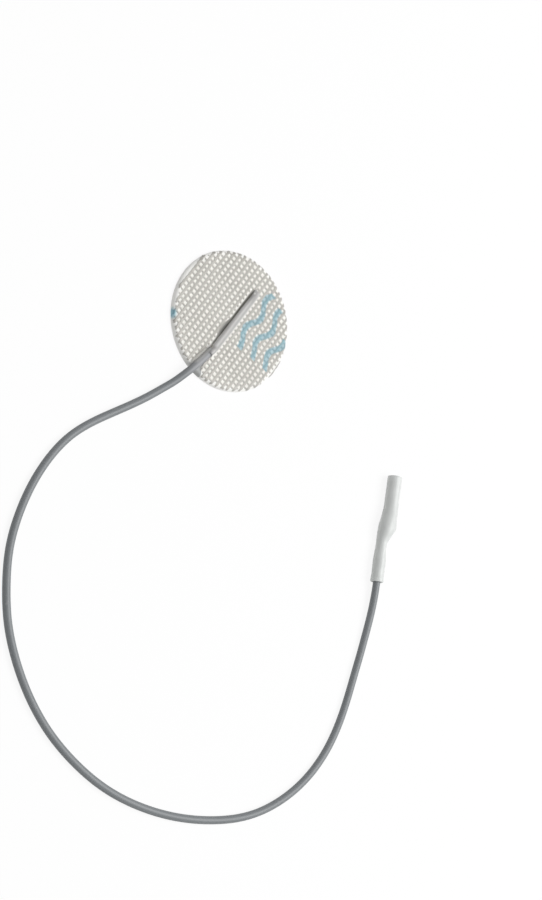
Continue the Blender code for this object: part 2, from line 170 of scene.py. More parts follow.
def between(ends, share):
    """A value on the way from the first of two ends to the second."""
    return ends[0] + (ends[1] - ends[0]) * share


class Wire:
    """A node's output, on which Python's operators add Math nodes."""

    def __init__(self, graph, socket):
        self.graph = graph
        self.socket = socket

    def __getitem__(self, name):
        return Wire(self.graph, chosen(self.socket.node.outputs, name))

    def __add__(self, other):
        return self.graph.math("ADD", self, other)

    def __sub__(self, other):
        return self.graph.math("SUBTRACT", self, other)

    def __rsub__(self, other):
        return self.graph.math("SUBTRACT", other, self)

    def __mul__(self, other):
        return self.graph.math("MULTIPLY", self, other)

    def __truediv__(self, other):
        return self.graph.math("DIVIDE", self, other)

    def __rtruediv__(self, other):
        return self.graph.math("DIVIDE", other, self)

    def __mod__(self, other):
        return self.graph.math("FLOORED_MODULO", self, other)

    def __lt__(self, other):
        return self.graph.math("LESS_THAN", self, other)

    def __gt__(self, other):
        return self.graph.math("GREATER_THAN", self, other)

    def __abs__(self):
        return self.graph.math("ABSOLUTE", self)

    __radd__ = __add__
    __rmul__ = __mul__


def chosen(sockets, key):
    """A node's socket by its number, or the one in use by its name."""
    if isinstance(key, int):
        return sockets[key]
    return next(s for s in sockets if s.name == key and s.enabled)


class Graph:
    """One node tree, and the ways to add to it."""

    def __init__(self, tree):
        self.tree = tree
        tree.nodes.clear()

    def node(self, kind, settings=None, sockets=None):
        """Adds a node: its settings first, then the values or links of its sockets."""
        made = self.tree.nodes.new(kind)
        for name, value in (settings or {}).items():
            setattr(made, name, value)
        for name, value in (sockets or {}).items():
            socket = chosen(made.inputs, name)
            for one in value if isinstance(value, list) else [value]:
                if isinstance(one, Wire):
                    self.tree.links.new(one.socket, socket)
                else:
                    socket.default_value = one
        found = [s for s in made.outputs if s.enabled]
        return Wire(self, found[0]) if found else None

    def math(self, operation, *values):
        return self.node("ShaderNodeMath", {"operation": operation}, dict(enumerate(values)))

    def vector(self, operation, *values):
        return self.node("ShaderNodeVectorMath", {"operation": operation},
                         dict(enumerate(values)))

    def scaled(self, vector, share):
        return self.node("ShaderNodeVectorMath", {"operation": "SCALE"},
                         {0: vector, "Scale": share})

    def sine(self, value):
        return self.math("SINE", value)

    def cosine(self, value):
        return self.math("COSINE", value)

    def distance(self, x, y):
        """Length of the slant that has these two sides."""
        return self.math("SQRT", x * x + y * y)

    def largest(self, first, *others):
        """The largest of some values, or whether any of some tests holds."""
        for other in others:
            first = self.math("MAXIMUM", first, other)
        return first

    def parts(self, vector):
        """The three numbers of a vector."""
        split = self.node("ShaderNodeSeparateXYZ", None, {"Vector": vector})
        return split["X"], split["Y"], split["Z"]

    def whole(self, x=0.0, y=0.0, z=0.0):
        """A vector of three numbers."""
        return self.node("ShaderNodeCombineXYZ", None, {"X": x, "Y": y, "Z": z})

    def clamp(self, value, low=0.0, high=1.0):
        return self.node("ShaderNodeClamp", None, {"Value": value, "Min": low, "Max": high})

    def step(self, value, start, end):
        """Smooth step of a value, from 0 at start to 1 at end."""
        return self.node("ShaderNodeMapRange", {"interpolation_type": "SMOOTHSTEP"},
                         {"Value": value, "From Min": start, "From Max": end})

    def mix(self, share, first, second):
        """A colour between two colours."""
        return self.node("ShaderNodeMix", {"data_type": "RGBA"},
                         {"Factor": share, "A": first, "B": second})

    def coated(self, base, *coats):
        """A colour under coats, each given as its share and its own colour."""
        for share, tint in coats:
            base = self.mix(share, base, tint)
        return base

    def noise(self, place, ripples, detail=3.0):
        """Soft noise about 0.5, with so many ripples a metre, and three of it as Color."""
        return self.node("ShaderNodeTexNoise", None, {
            "Vector": place, "Scale": ripples, "Detail": detail, "Roughness": 0.55})

    def bump(self, height, strength, reach):
        """A normal from a height between 0 and 1 that stands for a reach in metres."""
        return self.node("ShaderNodeBump", None, {
            "Strength": strength, "Distance": reach, "Height": height})

    def stored(self, geometry, name, value):
        """Geometry that carries a value under a name."""
        return self.node("GeometryNodeStoreNamedAttribute", None,
                         {"Geometry": geometry, "Name": name, "Value": value})


def colour(red, green, blue):
    return (red, green, blue, 1.0)


def grown(name, build, sizes, path=()):
    """Plain mesh object of a Geometry Nodes tree whose sizes are its named inputs."""
    tree = bpy.data.node_groups.new(name, "GeometryNodeTree")
    tree.interface.new_socket("Geometry", in_out="INPUT", socket_type="NodeSocketGeometry")
    tree.interface.new_socket("Geometry", in_out="OUTPUT", socket_type="NodeSocketGeometry")
    keys = {}
    for size in sizes:
        kind = "NodeSocketInt" if isinstance(sizes[size], int) else "NodeSocketFloat"
        keys[size] = tree.interface.new_socket(size, in_out="INPUT", socket_type=kind).identifier
    graph = Graph(tree)
    given = graph.node("NodeGroupInput")
    wires = {size: given[size] for size in sizes}
    graph.node("NodeGroupOutput", None, {"Geometry": build(graph, given, wires)})

    data = bpy.data.meshes.new(name)
    data.from_pydata(path, [(i, i + 1) for i in range(len(path) - 1)], [])
    made = scene_object(name, data)
    step = made.modifiers.new("grow", "NODES")
    step.node_group = tree
    for size, value in sizes.items():
        step[keys[size]] = value
    flatten(made)
    return made


def flatten(made):
    """Turns an object and its modifiers into a plain mesh at the origin."""
    bpy.context.view_layer.update()
    view = made.evaluated_get(bpy.context.evaluated_depsgraph_get())
    data = bpy.data.meshes.new_from_object(view)
    made.modifiers.clear()
    made.data = data
    data.name = made.name


def join_rings(shape, rings):
    """Faces from each ring of points to the next."""
    for ring, after in zip(rings, rings[1:]):
        for k in range(len(ring)):
            j = (k + 1) % len(ring)
            shape.faces.new((ring[k], ring[j], after[j], after[k]))


def close_rings(shape, rings):
    """Faces from each ring to the next, and one over each end."""
    join_rings(shape, rings)
    shape.faces.new(rings[0][::-1])
    shape.faces.new(rings[-1])


def scene_object(name, data):
    made = bpy.data.objects.new(name, data)
    bpy.context.scene.collection.objects.link(made)
    return made


def mesh_object(name, shape, finish):
    """Object of a bmesh, smooth, with its faces pointing out."""
    bmesh.ops.remove_doubles(shape, verts=shape.verts, dist=0.001 * MM)
    bmesh.ops.recalc_face_normals(shape, faces=shape.faces)
    data = bpy.data.meshes.new(name)
    shape.to_mesh(data)
    shape.free()
    data.shade_smooth()
    data.materials.append(finish)
    return scene_object(name, data)


def stood_for(piece, slot, *nodes):
    """Ties a piece to the body and hides the parts of the model that it stands for."""
    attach(piece, BODY)
    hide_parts(*nodes)
    return piece


# Camera

def aimed_object(name, data, place, aim, roll=0.0):
    """A camera or lamp at a place, turned to its aim and rolled about the way there."""
    made = scene_object(name, data)
    made.location = place
    made.rotation_mode = "QUATERNION"
    made.rotation_quaternion = (aim - place).to_track_quat("-Z", "Y") @ Quaternion(UP, roll)
    return made


def make_camera():
    """The photograph's view: from behind and to the left of the pad, looking down."""
    place = Vector((-243.83, 155.38, 373.23)) * MM
    aim = Vector((-13.72, -27.30, 0.0)) * MM
    roll = math.radians(81.03)
    data = bpy.data.cameras.new("camera")
    data.sensor_width = 36.0
    data.lens = 84.02
    data.clip_start = 0.01
    data.clip_end = 10.0
    bpy.context.scene.camera = aimed_object("camera", data, place, aim, roll)


# The lead and the connector's middle line

def neck_share(s):
    """How far the connector has widened from its tail to its barrel."""
    return ease((s - NECK_START) / NECK_LENGTH)


def slim_share(s):
    """How far the sleeve has drawn in again on the barrel."""
    return ease((s - SLIM_START) / SLIM_LENGTH)


def lean_share(s):
    """How far the barrel has leant over to its right."""
    return ease((s - LEAN_START) / LEAN_LENGTH)


def connector_axes():
    """Directions along the connector and to its left."""
    along = Vector((math.cos(CONNECTOR_TURN), math.sin(CONNECTOR_TURN), 0.0))
    return along, Vector((-along.y, along.x, 0.0))


def connector_point(s):
    """Middle of the connector at a distance from the sleeve's cord end."""
    along, side = connector_axes()
    start = Vector((CONNECTOR_FROM_RIM_X - GEL_RADIUS, CONNECTOR_Y, TAIL_Z))
    shift = UP * (BARREL_Z - TAIL_Z) - side * TAIL_SIDE_SHIFT
    lowering = UP * (-BARREL_SLIM * slim_share(s))
    lean = side * -BARREL_LEAN * lean_share(s)
    return start + along * s + shift * neck_share(s) + lowering + lean


def connector_place(s, angle, reach):
    """A place off the connector's middle, with the angle from its left over its top."""
    _, side = connector_axes()
    return connector_point(s) + (side * math.cos(angle) + UP * math.sin(angle)) * reach


def smooth_route(points, step):
    """Points a step apart on the natural cubic spline through the given ones."""
    knots = np.array(points, dtype=float)
    count = len(knots)
    at = np.concatenate(([0.0], np.cumsum(np.linalg.norm(np.diff(knots, axis=0), axis=1))))
    span = np.diff(at)
    system = np.eye(count)
    right = np.zeros_like(knots)
    for i in range(1, count - 1):
        system[i, i - 1] = span[i - 1]
        system[i, i] = 2 * (span[i - 1] + span[i])
        system[i, i + 1] = span[i]
        change = (knots[i + 1] - knots[i]) / span[i] - (knots[i] - knots[i - 1]) / span[i - 1]
        right[i] = 6 * change
    bend = np.linalg.solve(system, right)
    samples = np.linspace(0.0, at[-1], int(round(at[-1] / step)) + 1)
    route = []
    for s in samples:
        i = min(int(np.searchsorted(at, s, side="right")) - 1, count - 2)
        a = (at[i + 1] - s) / span[i]
        b = (s - at[i]) / span[i]
        pull = ((a ** 3 - a) * bend[i] + (b ** 3 - b) * bend[i + 1]) * span[i] ** 2 / 6
        route.append(a * knots[i] + b * knots[i + 1] + pull)
    return route


def lead_route():
    """The lead's own points, from under the flap to its end in the sleeve."""
    fall = CORD_ON_GEL_Z - CORD_ON_TABLE_Z
    points = [(CORD_START_X, 0.0, CORD_ON_GEL_Z)]
    points += [(x * MM - GEL_RADIUS, y * MM, CORD_ON_TABLE_Z + fall * share)
               for x, y, share in DOWN_ROUTE]
    points += [(x * MM - GEL_RADIUS, y * MM, CORD_ON_TABLE_Z) for x, y in TABLE_ROUTE]
    points.append(connector_point(-SLEEVE_APPROACH) - UP * SLEEVE_APPROACH_DROP)
    points += [connector_point(0.0), connector_point(CORD_DEPTH)]
    return points


def make_lead(finish):
    """Round jacket along the lead's route, never lower than it lies on the table."""
    point_step = 1.2 * MM
    data = bpy.data.curves.new("lead", "CURVE")
    data.dimensions = "3D"
    data.twist_mode = "MINIMUM"
    data.bevel_depth = CORD_DIAMETER / 2
    data.bevel_resolution = 5
    data.use_fill_caps = True
    route = smooth_route(lead_route(), point_step)
    spline = data.splines.new("POLY")
    spline.points.add(len(route) - 1)
    for place, (x, y, z) in zip(spline.points, route):
        place.co = (x, y, max(z, CORD_ON_TABLE_Z), 1.0)
    spline.use_smooth = True
    data.materials.append(finish)
    return stood_for(scene_object("lead", data), "jacket", "lead_cord")


def raised(s, form):
    """How far one of the sleeve's forms stands out at a place along it."""
    out, middle, reach = (size * MM for size in form)
    return out * hump(s, middle, reach)


def sleeve_reach(s, radius, angle):
    """The sleeve's skin, which gave way over the socket but not in its hole round the cord."""
    tight_radius = 1.2 * MM
    fold_step = 1.1 * MM
    if radius <= tight_radius:
        return radius
    left = max(math.cos(angle), 0.0)
    right = max(-math.cos(angle), 0.0)
    waist = raised(s, RIGHT_WAIST) * right + raised(s, WAIST)
    shoulder = raised(s, LEFT_SHOULDER) * left + raised(s, RIGHT_SHOULDER) * right
    fold = raised(s, FOLDS) * math.sin(s / fold_step + 2.0 * angle)
    return radius + raised(s, SWELL) + waist + shoulder + fold


def make_sleeve(finish):
    """White sleeve, open at both ends, tight on the cord and on the socket."""
    sides = 48
    step = 0.4 * MM
    lip = 0.16 * MM
    lip_bend = lip * 0.3
    cord_hole = CORD_DIAMETER / 2 + 0.04 * MM
    mouth_hole = SOCKET_RADIUS + 0.12 * MM
    flare = 0.10 * MM
    flare_end = 1.8 * MM
    flare_length = 0.9 * MM

    def outer(s):
        barrel = (BARREL_RADIUS - TAIL_RADIUS) * neck_share(s) - BARREL_SLIM * slim_share(s)
        return TAIL_RADIUS + barrel + flare * ease((flare_end - s) / flare_length)

    def inner(s):
        return between((cord_hole, mouth_hole), neck_share(s))

    count = int(SLEEVE_LENGTH / step)
    stations = [lip + (SLEEVE_LENGTH - 2 * lip) * k / count for k in range(count + 1)]
    profile = [(0.0, inner(0.0) + lip), (0.0, outer(0.0) - lip),
               (lip_bend, outer(0.0) - lip_bend)]
    profile += [(s, outer(s)) for s in stations]
    profile += [(SLEEVE_LENGTH - lip_bend, outer(SLEEVE_LENGTH) - lip_bend),
                (SLEEVE_LENGTH, outer(SLEEVE_LENGTH) - lip),
                (SLEEVE_LENGTH, inner(SLEEVE_LENGTH) + lip / 2)]
    profile += [(s, inner(s)) for s in reversed(stations)]

    shape = bmesh.new()
    rings = []
    for s, radius in profile:
        ring = []
        for k in range(sides):
            angle = FULL_TURN * k / sides
            place = connector_place(s, angle, sleeve_reach(s, radius, angle))
            place.z = max(place.z, TABLE_GAP)
            ring.append(shape.verts.new(place))
        rings.append(ring)
    join_rings(shape, rings + rings[:1])
    return stood_for(mesh_object("sleeve", shape, finish), "sleeve", "connector_sleeve")


def make_socket(finish):
    """Turned socket: crimped tail, stepped shoulder and a slotted barrel with a rolled mouth."""
    sides = 40
    stations = 60
    wall = 0.35 * MM
    floor_depth = 0.9 * MM
    floor_radius = SOCKET_RADIUS - wall * 0.9
    slot_length = 6.0 * MM
    slot_half = 0.15 * MM
    roll = 0.12 * MM
    roll_length = 0.6 * MM
    crimps = (7.4 * MM, 8.6 * MM)
    crimp_reach = 0.5 * MM
    crimp_dent = 0.16 * MM
    slot_turn = math.asin(slot_half / SOCKET_RADIUS)
    shape = bmesh.new()
    rings = []
    for n in range(stations + 1):
        s = SOCKET_START + (SOCKET_END - SOCKET_START) * n / stations
        radius = between((CRIMP_RADIUS, SOCKET_RADIUS), neck_share(s))
        radius -= roll * ease((s - SOCKET_END + roll_length) / roll_length)
        dent = crimp_dent * sum(hump(s, crimp, crimp_reach) for crimp in crimps)
        ring = []
        for k in range(sides + 1):
            angle = math.pi / 2 + slot_turn + (FULL_TURN - 2 * slot_turn) * k / sides
            reach = radius - dent * math.cos(angle * 2) ** 2
            ring.append(shape.verts.new(connector_place(s, angle, reach)))
        rings.append((s, ring))
    for (s, ring), (_, after) in zip(rings, rings[1:]):
        for k in range(sides):
            shape.faces.new((ring[k], ring[k + 1], after[k + 1], after[k]))
        if s < SOCKET_END - slot_length:
            shape.faces.new((ring[sides], ring[0], after[0], after[sides]))
    socket = mesh_object("socket", shape, finish)
    shell = socket.modifiers.new("wall", "SOLIDIFY")
    shell.thickness = wall
    shell.offset = -1.0
    flatten(socket)

    # The barrel's floor, sunk into its wall
    shape = bmesh.new()
    shape.from_mesh(socket.data)
    along, _ = connector_axes()
    turn = along.to_track_quat("Z", "Y").to_matrix().to_4x4()
    turn.translation = connector_point(NECK_START + NECK_LENGTH + floor_depth / 2)
    bmesh.ops.create_cone(shape, cap_ends=True, segments=sides, depth=floor_depth, matrix=turn,
                          radius1=floor_radius, radius2=floor_radius)
    shape.to_mesh(socket.data)
    shape.free()
    return stood_for(socket, "socket", "pin_socket")


# Twisted strands of the bare wire

def strand_tree(graph, given, size):
    """A core and the strands that wind round it along a path."""
    path = graph.node("GeometryNodeMeshToCurve", None, {"Mesh": given["Geometry"]})
    path = graph.node("GeometryNodeResampleCurve", {"mode": "LENGTH"},
                      {"Curve": path, "Length": size["Step"]})
    starts = graph.node("GeometryNodeMeshLine", {"mode": "OFFSET"}, {
        "Count": size["Strands"], "Offset": (0.0, 0.0, 0.0)})
    starts = graph.stored(starts, "strand", graph.node("GeometryNodeInputIndex"))
    copies = graph.node("GeometryNodeInstanceOnPoints", None,
                        {"Points": starts, "Instance": path})
    lines = graph.node("GeometryNodeRealizeInstances", None, {"Geometry": copies})
    strand = graph.node("GeometryNodeInputNamedAttribute", None, {"Name": "strand"})
    along = graph.node("GeometryNodeSplineParameter")["Length"]
    turn = (strand / size["Strands"] + along / size["Twist"]) * FULL_TURN
    normal = graph.node("GeometryNodeInputNormal")
    tangent = graph.node("GeometryNodeInputTangent")
    across = graph.vector("CROSS_PRODUCT", normal, tangent)
    reach = size["Bundle radius"] - size["Strand radius"]
    out = graph.scaled(normal, reach * graph.cosine(turn))
    over = graph.scaled(across, reach * graph.sine(turn))
    wound = graph.node("GeometryNodeSetPosition", None, {
        "Geometry": lines, "Offset": graph.vector("ADD", out, over)})
    both = graph.node("GeometryNodeJoinGeometry", None, {"Geometry": [wound, path]})
    section = graph.node("GeometryNodeCurvePrimitiveCircle", None, {
        "Resolution": 8, "Radius": size["Strand radius"]})
    skin = graph.node("GeometryNodeCurveToMesh", None, {
        "Curve": both, "Profile Curve": section, "Fill Caps": True})
    return graph.node("GeometryNodeSetMaterial", None, {
        "Geometry": skin, "Material": bpy.data.materials["tinned_wire"]})


def make_strands(name, node, path):
    wire_radius = 0.34 * MM
    strands = grown(name, strand_tree, {
        "Step": 0.25 * MM,
        "Strands": 6,
        "Twist": 5.0 * MM,
        "Bundle radius": wire_radius,
        "Strand radius": wire_radius / 3,
    }, path)
    strands.data.shade_smooth()
    return stood_for(strands, "strand", node)


def make_pad_wire():
    """Bare end of the lead, from the middle of the jacket down on to the gel under the flap."""
    start = Vector((-9.7, 0.0, 2.175)) * MM
    end = Vector((9.2, -0.2, 1.56)) * MM
    bend_length = 1.7 * MM
    steps = 60
    path = []
    for k in range(steps + 1):
        share = k / steps
        point = start.lerp(end, share)
        point.z = between((start.z, end.z), ease(share * (end.x - start.x) / bend_length))
        path.append(point)
    return make_strands("pad_strands", "pad_wire", path)


def make_plug_wire():
    """Bare far end of the lead, from inside the jacket into the crimp."""
    in_jacket = 0.2 * MM
    in_crimp = 2.1 * MM
    steps = 8
    start = connector_point(CORD_DEPTH - in_jacket)
    end = connector_point(SOCKET_START + in_crimp)
    path = [start.lerp(end, k / steps) for k in range(steps + 1)]
    return make_strands("plug_strands", "plug_wire", path)


# The knitted cloth

def row_lines(graph, size, points_a_stitch):
    """Straight lines of points, one for each row of the knit, in step with its stitches."""
    rows = graph.node("GeometryNodeMeshLine", {"mode": "OFFSET"}, {
        "Count": size["Rows"], "Start Location": graph.whole(y=size["First row"]),
        "Offset": graph.whole(y=size["Row pitch"])})
    line = graph.node("GeometryNodeMeshLine", {"mode": "OFFSET"}, {
        "Count": size["Stitches"] * points_a_stitch + 1.0,
        "Start Location": graph.whole(x=size["Stitches"] * size["Stitch"] * -0.5),
        "Offset": graph.whole(x=size["Stitch"] / points_a_stitch)})
    placed = graph.node("GeometryNodeInstanceOnPoints", None,
                        {"Points": rows, "Instance": line})
    return graph.node("GeometryNodeRealizeInstances", None, {"Geometry": placed})


def notch_flares(graph, x):
    """How much wider the notch has grown on its far and near sides toward the rim."""
    out = graph.largest(NOTCH_END_X - x, 0.0)
    late = graph.largest(out - NOTCH_NEAR_FLARE_START, 0.0)
    return out * NOTCH_FAR_FLARE, late * NOTCH_NEAR_FLARE


def slit_bulge(graph, x):
    """How much wider the slit stands open about its middle."""
    off = abs(x - SLIT_BULGE_X)
    return (1.0 - graph.step(off, SLIT_BULGE_FLAT, SLIT_BULGE_REACH)) * SLIT_BULGE


def threads(graph, size, lines, place, radius):
    """Moves lines of points on to their thread's place, trims them and gives them thickness."""
    moved = graph.node("GeometryNodeSetPosition", None, {"Geometry": lines, "Position": place})
    x, y, _ = graph.parts(graph.node("GeometryNodeInputPosition"))
    fray = graph.noise(graph.whole(x, y), 900.0, 2.0) * size["Fray"]
    outside = graph.largest(
        graph.distance(x, y) > size["Radius"] - fray,
        y > size["Strip edge"],
        y * CORNER_WAY_Y + x * CORNER_WAY_X > size["Corner cut"])
    slit_edge = slit_bulge(graph, x) + size["Slit edge"]
    under_flap = ((x > size["Notch end"]) * (x < size["Flap end"])
                  * (y > size["Flap foot"]) * (y < slit_edge))
    far_flare, near_flare = notch_flares(graph, x)
    in_notch = ((x < size["Notch end"]) * (y > size["Notch near"] - near_flare)
                * (y < far_flare + size["Notch far"]))
    kept = graph.node("GeometryNodeDeleteGeometry", {"domain": "POINT"}, {
        "Geometry": moved, "Selection": graph.largest(outside, under_flap, in_notch)})
    curves = graph.node("GeometryNodeMeshToCurve", None, {"Mesh": kept})
    length = graph.node("GeometryNodeSplineLength")
    curves = graph.node("GeometryNodeDeleteGeometry", {"domain": "CURVE"},
                        {"Geometry": curves, "Selection": length < size["Shortest"]})
    curves = graph.stored(curves, "along", graph.node("GeometryNodeSplineParameter")["Length"])
    section = graph.node("GeometryNodeCurvePrimitiveCircle", None, {
        "Resolution": 6, "Radius": radius})
    turn = graph.node("GeometryNodeSplineParameter")["Factor"] * FULL_TURN
    section = graph.stored(section, "round_x", graph.cosine(turn))
    section = graph.stored(section, "round_y", graph.sine(turn))
    return graph.node("GeometryNodeCurveToMesh", None, {
        "Curve": curves, "Profile Curve": section, "Fill Caps": True})


def knit_tree(graph, given, size):
    """Rows of chain stitches, joined across the holes by threads that swing between them."""
    x, y, _ = graph.parts(graph.node("GeometryNodeInputPosition"))
    row = graph.math("ROUND", (y - size["First row"]) / size["Row pitch"])
    odd = row % 2.0
    alternate = (1.0 - odd * 2.0) * size["Row alternate"]
    wander = graph.noise(graph.whole(x, y), 260.0, 2.0)["Color"]
    wander = graph.vector("SUBTRACT", wander, (0.5, 0.5, 0.5))
    wander = graph.scaled(wander, size["Wander"])
    stitch_turn = (x - row * size["Hole skew"]) * math.pi / size["Stitch"]
    made = []

    # Two strands make the open loops of a chain, pinched together at each stitch
    pinched = 0.3
    swing = abs(graph.sine(stitch_turn))
    for side in (-1.0, 1.0):
        lines = row_lines(graph, size, size["Chain points"])
        apart = size["Chain half width"] * (pinched + swing * (1.0 - pinched)) * side
        lift = size["Chain rise"] * (graph.cosine(stitch_turn * 2.0 + side) * 0.5)
        place = graph.whole(x, y + alternate + apart, size["Height"] + lift)
        place = graph.vector("ADD", place, wander)
        made.append(threads(graph, size, lines, place, size["Chain radius"]))

    # One thread a row of holes swings from one chain to the next and back, and dwells at each
    dwell = 2.6
    hole_x = (size["Hole start"] + row * size["Hole skew"]
              + (1.0 - odd) * size["Hole alternate"])
    across = graph.clamp(graph.sine(x * math.pi / size["Stitch"]) * dwell, -1.0, 1.0)
    gather = graph.sine(x * FULL_TURN / size["Stitch"]) * size["Inlay gather"]
    middle = y + size["Row pitch"] * 0.5
    half = size["Row pitch"] * 0.5 - alternate
    dip = size["Chain rise"] * (0.5 - abs(across)) * 0.5
    place = graph.whole(x - gather + hole_x, middle + across * half,
                        size["Height"] - size["Inlay drop"] + dip)
    place = graph.vector("ADD", place, wander)
    lines = row_lines(graph, size, size["Inlay points"])
    made.append(threads(graph, size, lines, place, size["Inlay radius"]))

    # All of it is pressed flat, and it droops over the rim of the gel
    both = graph.node("GeometryNodeJoinGeometry", None, {"Geometry": made})
    x, y, z = graph.parts(graph.node("GeometryNodeInputPosition"))
    past = graph.largest(graph.distance(x, y) - size["Droop start"], 0.0)
    flat_z = size["Height"] + (z - size["Height"]) * size["Flatness"] - past * past * size["Droop"]
    laid = graph.node("GeometryNodeSetPosition", None, {
        "Geometry": both, "Position": graph.whole(x, y, flat_z)})
    return graph.node("GeometryNodeSetMaterial", None, {
        "Geometry": laid, "Material": bpy.data.materials["silver_thread"]})


def make_knit():
    knit = grown("knit", knit_tree, {
        "Rows": 2 * ROWS_EACH_WAY,
        "First row": ROW_FIRST_Y - ROWS_EACH_WAY * ROW_PITCH,
        "Row pitch": ROW_PITCH,
        "Row alternate": ROW_ALTERNATE,
        "Stitch": STITCH,
        "Hole start": HOLE_START_X - (ROWS_EACH_WAY - 1) * HOLE_SKEW,
        "Hole skew": HOLE_SKEW,
        "Hole alternate": HOLE_ALTERNATE,
        "Radius": KNIT_RADIUS,
        "Strip edge": STRIP_EDGE_Y,
        "Corner cut": CORNER_CUT,
        "Fray": 0.2 * MM,
        "Flatness": 0.42,
        "Droop start": 15.2 * MM,
        "Droop": 0.75 / MM,
        "Flap end": FLAP_END_X - FLAP_END_LAP,
        "Flap foot": FLAP_FOOT_Y[0] + FLAP_FOOT_LAP,
        "Slit edge": SLIT_EDGE_Y,
        "Notch end": NOTCH_END_X,
        "Notch near": NOTCH_NEAR_Y,
        "Notch far": NOTCH_FAR_Y,
        "Shortest": 1.3 * MM,
        "Height": KNIT_Z,
        "Wander": 0.09 * MM,
        "Stitches": 32,
        "Chain points": 6,
        "Chain half width": 0.18 * MM,
        "Chain radius": 0.17 * MM,
        "Chain rise": 0.09 * MM,
        "Inlay points": 8,
        "Inlay gather": 0.09 * MM,
        "Inlay radius": 0.25 * MM,
        "Inlay drop": 0.1 * MM,
    })
    knit.data.shade_smooth()
    return stood_for(knit, "cloth", "mesh_cover")


# The flap

def mouth_share(x):
    """How far the flap has widened for the lead, from 0 on the wire to 1 at its mouth."""
    return ease((FLAP_START_X + FLAP_MOUTH_LENGTH - x) / FLAP_MOUTH_LENGTH)


def rise_share(x):
    """How far it has risen for the lead, which it clears from the end of the jacket on."""
    return ease((FLAP_START_X + FLAP_MOUTH_LENGTH - x) / FLAP_RISE_LENGTH)


def flap_height(x, across):
    """Height of the flap's middle, with across from 0 at its foot to 1 at its free edge."""
    mouth = rise_share(x)
    lift = between(FLAP_LIFT, mouth) * ease((FLAP_END_X - x) / FLAP_TAPER)
    crest = between(FLAP_CREST, mouth)
    past = max(across - crest, 0.0) / (1.0 - crest)
    arch = math.sin(min(across / crest, 1.0) * math.pi / 2) ** between(FLAP_ARCH_POWER, mouth)
    arch *= 1.0 - between(FLAP_EDGE_DROP, mouth) * past * past
    return KNIT_Z - FLAP_SINK + lift * arch


def make_flap(finish):
    """Cloth raised over the bare wire, fast along its foot and open along the slit."""
    columns, rows = 90, 14
    edge_wave = 0.05 * MM
    edge_wave_step = 1.9 * MM
    shape = bmesh.new()
    grid = []
    for j in range(rows + 1):
        across = j / rows
        line = []
        for i in range(columns + 1):
            x = between((FLAP_START_X, FLAP_END_X), i / columns)
            edge = between(FLAP_EDGE_Y, mouth_share(x) ** 2)
            edge += edge_wave * math.sin(x / edge_wave_step)
            foot = between(FLAP_FOOT_Y, mouth_share(x) ** 0.5)
            line.append(shape.verts.new((x, between((foot, edge), across), flap_height(x, across))))
        grid.append(line)
    for near, far in zip(grid, grid[1:]):
        for i in range(columns):
            shape.faces.new((near[i], near[i + 1], far[i + 1], far[i]))
    flap = mesh_object("flap", shape, finish)
    full = flap.vertex_groups.new(name="full")
    for corner in flap.data.vertices:
        full.add([corner.index], 1.0 - FLAP_THINNING * mouth_share(corner.co.x), "REPLACE")
    cloth = flap.modifiers.new("cloth", "SOLIDIFY")
    cloth.thickness = FLAP_THICKNESS
    cloth.offset = 0.0
    cloth.vertex_group = "full"
    round_edge = flap.modifiers.new("edge", "BEVEL")
    round_edge.width = 0.03 * MM
    round_edge.segments = 2
    round_edge.limit_method = "ANGLE"
    flatten(flap)
    flap.data.shade_smooth()
    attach(flap, BODY)
    return flap


# The gel

def add_bead(shape):
    """Gel pressed up along the far side of the lead in the notch."""
    sides = 14
    start_x, end_x = CORD_START_X, -15.9 * MM
    from_lead = 0.8 * MM
    above_gel = 0.06 * MM
    thinnest = 0.02 * MM
    growth = 0.48 * MM
    start_taper = 0.12
    end_taper = 0.2
    route = [Vector(point) for point in smooth_route(lead_route(), 0.4 * MM)]
    route = [point for point in route if end_x < point.x < start_x and point.y > -GEL_RADIUS]
    rings = []
    for n, point in enumerate(route):
        way = (route[min(n + 1, len(route) - 1)] - route[max(n - 1, 0)]).normalized()
        out = Vector((way.y, -way.x, 0.0)).normalized()
        share = (start_x - point.x) / (start_x - end_x)
        reach = growth * ease(share / start_taper) * ease((1.0 - share) / end_taper) + thinnest
        middle = point + out * from_lead
        middle.z = KNIT_FLOOR + above_gel
        ring = []
        for k in range(sides):
            angle = FULL_TURN * k / sides
            ring.append(shape.verts.new(
                middle + (out * math.cos(angle) + UP * math.sin(angle)) * reach))
        rings.append(ring)
    close_rings(shape, rings)


def make_gel(finish):
    """Soft round disc with a rounded, faintly wavy rim, and the bead beside the lead."""
    sides = 180
    rim = 0.8 * MM
    arc_steps = 8
    foot_inset = 0.12 * MM
    waves = 7
    wave_height = 0.04 * MM
    inner_rings = (0.85, 0.7, 0.5, 0.3, 0.12)
    profile = [(GEL_RADIUS - foot_inset, 0.0)]
    for k in range(arc_steps + 1):
        angle = math.pi / 2 * k / arc_steps
        profile.append((GEL_RADIUS - rim + rim * math.cos(angle),
                        KNIT_FLOOR - rim + rim * math.sin(angle)))
    profile += [(GEL_RADIUS * share, KNIT_FLOOR) for share in inner_rings]
    shape = bmesh.new()
    rings = []
    for radius, z in profile:
        ring = []
        for k in range(sides):
            angle = FULL_TURN * k / sides
            wave = wave_height * math.sin(waves * angle + 1.0) * (radius / GEL_RADIUS) ** 6
            lift = wave - wave_height if z > KNIT_FLOOR - rim else 0.0
            ring.append(shape.verts.new(
                (radius * math.cos(angle), radius * math.sin(angle), z + lift)))
        rings.append(ring)
    close_rings(shape, rings)
    add_bead(shape)
    return stood_for(mesh_object("gel", shape, finish), "gel", "gel_pad")


# Finishes

